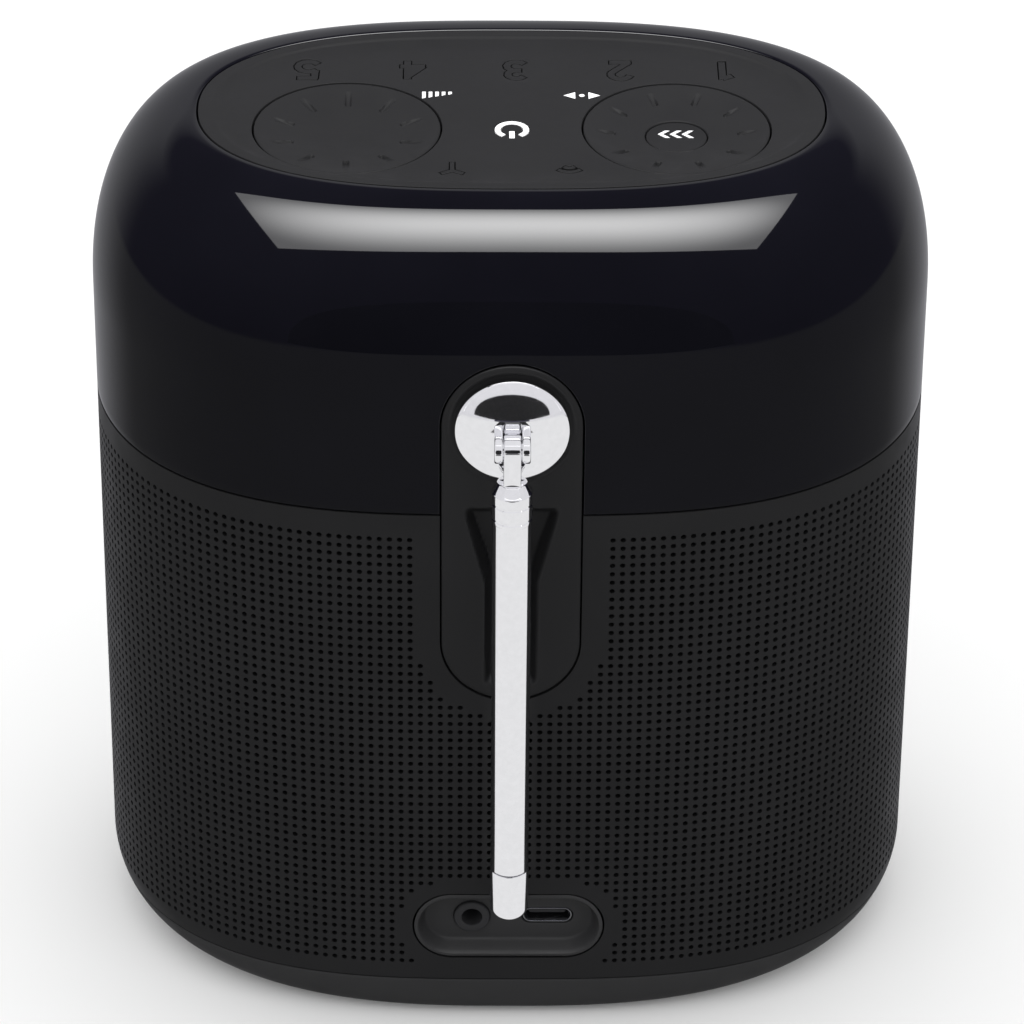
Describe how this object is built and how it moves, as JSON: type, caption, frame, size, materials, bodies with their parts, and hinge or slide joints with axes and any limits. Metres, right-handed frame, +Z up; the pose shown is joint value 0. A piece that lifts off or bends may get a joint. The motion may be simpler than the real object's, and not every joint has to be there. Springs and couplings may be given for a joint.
{
  "type": "tabletop radio",
  "caption": "Compact upright tabletop radio with a perforated grille, gloss upper shell, top dials and keys, rear ports and a telescopic rear antenna.",
  "frame": {"origin": "centre of the oval plan, on the surface that the foot mat stands on", "axes": "+Z up, +Y towards the rear with the antenna, +X towards the volume dial (the user's right when facing the front)"},
  "size_m": [0.1476, 0.1051, 0.1636],
  "materials": {
    "gloss_shell": "piano-black gloss",
    "display_glass": "polished dark window",
    "soft_panel": "soft-touch matt",
    "soft_keys": "soft-touch matt",
    "white_mark": "white translucent symbol",
    "circuit_board": "green solder mask",
    "black_component": "moulded component",
    "encoder_metal": "pressed steel",
    "screw_steel": "zinc plated",
    "heatsink_aluminium": "extruded aluminium",
    "inner_plastic": "moulded black plastic",
    "rubber": "black rubber",
    "magnet_metal": "plated ferrite motor",
    "cone_paper": "coated paper cone",
    "coil_copper": "enamelled copper winding",
    "grille_metal": "satin powder coat, perforated",
    "base_plastic": "fine satin texture",
    "rear_plastic": "satin moulded plastic",
    "cell_wrap": "shrink-wrapped cell",
    "antenna_chrome": "bright chrome plate",
    "antenna_brass": "machined brass"
  },
  "bodies": {
    "housing": {"top_shell": "gloss_shell", "top_panel": "soft_panel", "control_board": "circuit_board", "tact_switches": "black_component", "volume_encoder": "encoder_metal", "tune_encoder": "encoder_metal", "panel_screws": "screw_steel", "display_window": "display_glass", "display_module": "black_component", "chassis_plate": "inner_plastic", "main_board": "circuit_board", "tuner_can": "screw_steel", "wireless_module": "black_component", "amplifier_heatsink": "heatsink_aluminium", "capacitors": "black_component", "speaker_box": "inner_plastic", "box_gasket": "rubber", "woofer_basket": "inner_plastic", "woofer_magnet": "magnet_metal", "woofer_surround": "rubber", "woofer_spider": "cone_paper", "radiator_frame": "inner_plastic", "radiator_surround": "rubber", "grille": "grille_metal", "base_cover": "base_plastic", "foot_mat": "rubber", "base_screws": "screw_steel", "shell_screws": "screw_steel", "battery_cells": "cell_wrap", "battery_tray": "inner_plastic", "port_bezel": "base_plastic", "port_board": "circuit_board", "aux_jack": "inner_plastic", "usb_socket": "screw_steel", "rear_plate": "rear_plastic"},
    "volume_dial": {"volume_dial": "soft_keys"},
    "tune_dial": {"tune_dial": "soft_keys"},
    "power_key": {"power_key": "white_mark"},
    "preset_key_1": {"preset_key_1": "soft_keys"},
    "preset_key_2": {"preset_key_2": "soft_keys"},
    "preset_key_3": {"preset_key_3": "soft_keys"},
    "preset_key_4": {"preset_key_4": "soft_keys"},
    "preset_key_5": {"preset_key_5": "soft_keys"},
    "band_key": {"band_key": "soft_keys"},
    "wireless_key": {"wireless_key": "soft_keys"},
    "scan_button": {"scan_button": "soft_keys"},
    "woofer_cone": {"woofer_cone": "cone_paper", "dust_cap": "cone_paper", "voice_coil": "coil_copper"},
    "radiator_diaphragm": {"radiator_diaphragm": "cone_paper"},
    "antenna_swivel": {"antenna_swivel": "antenna_chrome", "antenna_nut": "antenna_brass", "antenna_pin": "antenna_chrome"},
    "antenna_arm": {"antenna_knuckle": "antenna_chrome", "antenna_tube_1": "antenna_chrome"},
    "antenna_tube_2": {"antenna_tube_2": "antenna_chrome"},
    "antenna_tube_3": {"antenna_tube_3": "antenna_chrome"},
    "antenna_tube_4": {"antenna_tube_4": "antenna_chrome"},
    "antenna_tube_5": {"antenna_tube_5": "antenna_chrome"},
    "antenna_tip": {"antenna_tip": "antenna_chrome"}
  },
  "joints": [
    {"name": "volume_dial_turn", "type": "hinge", "parent": "housing", "child": "volume_dial", "pos_m": [0.0285, 0.0063, 0.16], "axis": [0, 0, 1], "continuous": true},
    {"name": "tune_dial_turn", "type": "hinge", "parent": "housing", "child": "tune_dial", "pos_m": [-0.0285, 0.0063, 0.16], "axis": [0, 0, 1], "continuous": true},
    {"name": "power_key_press", "type": "slide", "parent": "housing", "child": "power_key", "axis": [0, 0, -1], "range_m": [0, 0.0004], "stiffness_N_per_m": 900},
    {"name": "preset_key_1_press", "type": "slide", "parent": "housing", "child": "preset_key_1", "axis": [0, 0, -1], "range_m": [0, 0.0004], "stiffness_N_per_m": 900},
    {"name": "preset_key_2_press", "type": "slide", "parent": "housing", "child": "preset_key_2", "axis": [0, 0, -1], "range_m": [0, 0.0004], "stiffness_N_per_m": 900},
    {"name": "preset_key_3_press", "type": "slide", "parent": "housing", "child": "preset_key_3", "axis": [0, 0, -1], "range_m": [0, 0.0004], "stiffness_N_per_m": 900},
    {"name": "preset_key_4_press", "type": "slide", "parent": "housing", "child": "preset_key_4", "axis": [0, 0, -1], "range_m": [0, 0.0004], "stiffness_N_per_m": 900},
    {"name": "preset_key_5_press", "type": "slide", "parent": "housing", "child": "preset_key_5", "axis": [0, 0, -1], "range_m": [0, 0.0004], "stiffness_N_per_m": 900},
    {"name": "band_key_press", "type": "slide", "parent": "housing", "child": "band_key", "axis": [0, 0, -1], "range_m": [0, 0.0004], "stiffness_N_per_m": 900},
    {"name": "wireless_key_press", "type": "slide", "parent": "housing", "child": "wireless_key", "axis": [0, 0, -1], "range_m": [0, 0.0004], "stiffness_N_per_m": 900},
    {"name": "scan_button_press", "type": "slide", "parent": "housing", "child": "scan_button", "axis": [0, 0, -1], "range_m": [0, 0.0004], "stiffness_N_per_m": 900},
    {"name": "woofer_cone_stroke", "type": "slide", "parent": "housing", "child": "woofer_cone", "axis": [0, 1, 0], "range_m": [-0.0015, 0.0015], "stiffness_N_per_m": 1500},
    {"name": "radiator_stroke", "type": "slide", "parent": "housing", "child": "radiator_diaphragm", "axis": [0, 1, 0], "range_m": [-0.002, 0.002], "stiffness_N_per_m": 700},
    {"name": "antenna_swivel_turn", "type": "hinge", "parent": "housing", "child": "antenna_swivel", "pos_m": [0, 0.0476, 0.1275], "axis": [0, 1, 0], "continuous": true},
    {"name": "antenna_tilt", "type": "hinge", "parent": "antenna_swivel", "child": "antenna_arm", "pos_m": [0, 0.054, 0.1275], "axis": [1, 0, 0], "range_deg": [0, 180]},
    {"name": "antenna_tube_2_slide", "type": "slide", "parent": "antenna_arm", "child": "antenna_tube_2", "axis": [0, 0, -1], "range_m": [0, 0.064]},
    {"name": "antenna_tube_3_slide", "type": "slide", "parent": "antenna_tube_2", "child": "antenna_tube_3", "axis": [0, 0, -1], "range_m": [0, 0.064]},
    {"name": "antenna_tube_4_slide", "type": "slide", "parent": "antenna_tube_3", "child": "antenna_tube_4", "axis": [0, 0, -1], "range_m": [0, 0.064]},
    {"name": "antenna_tube_5_slide", "type": "slide", "parent": "antenna_tube_4", "child": "antenna_tube_5", "axis": [0, 0, -1], "range_m": [0, 0.064]},
    {"name": "antenna_tip_slide", "type": "slide", "parent": "antenna_tube_5", "child": "antenna_tip", "axis": [0, 0, -1], "range_m": [0, 0.064]}
  ]
}
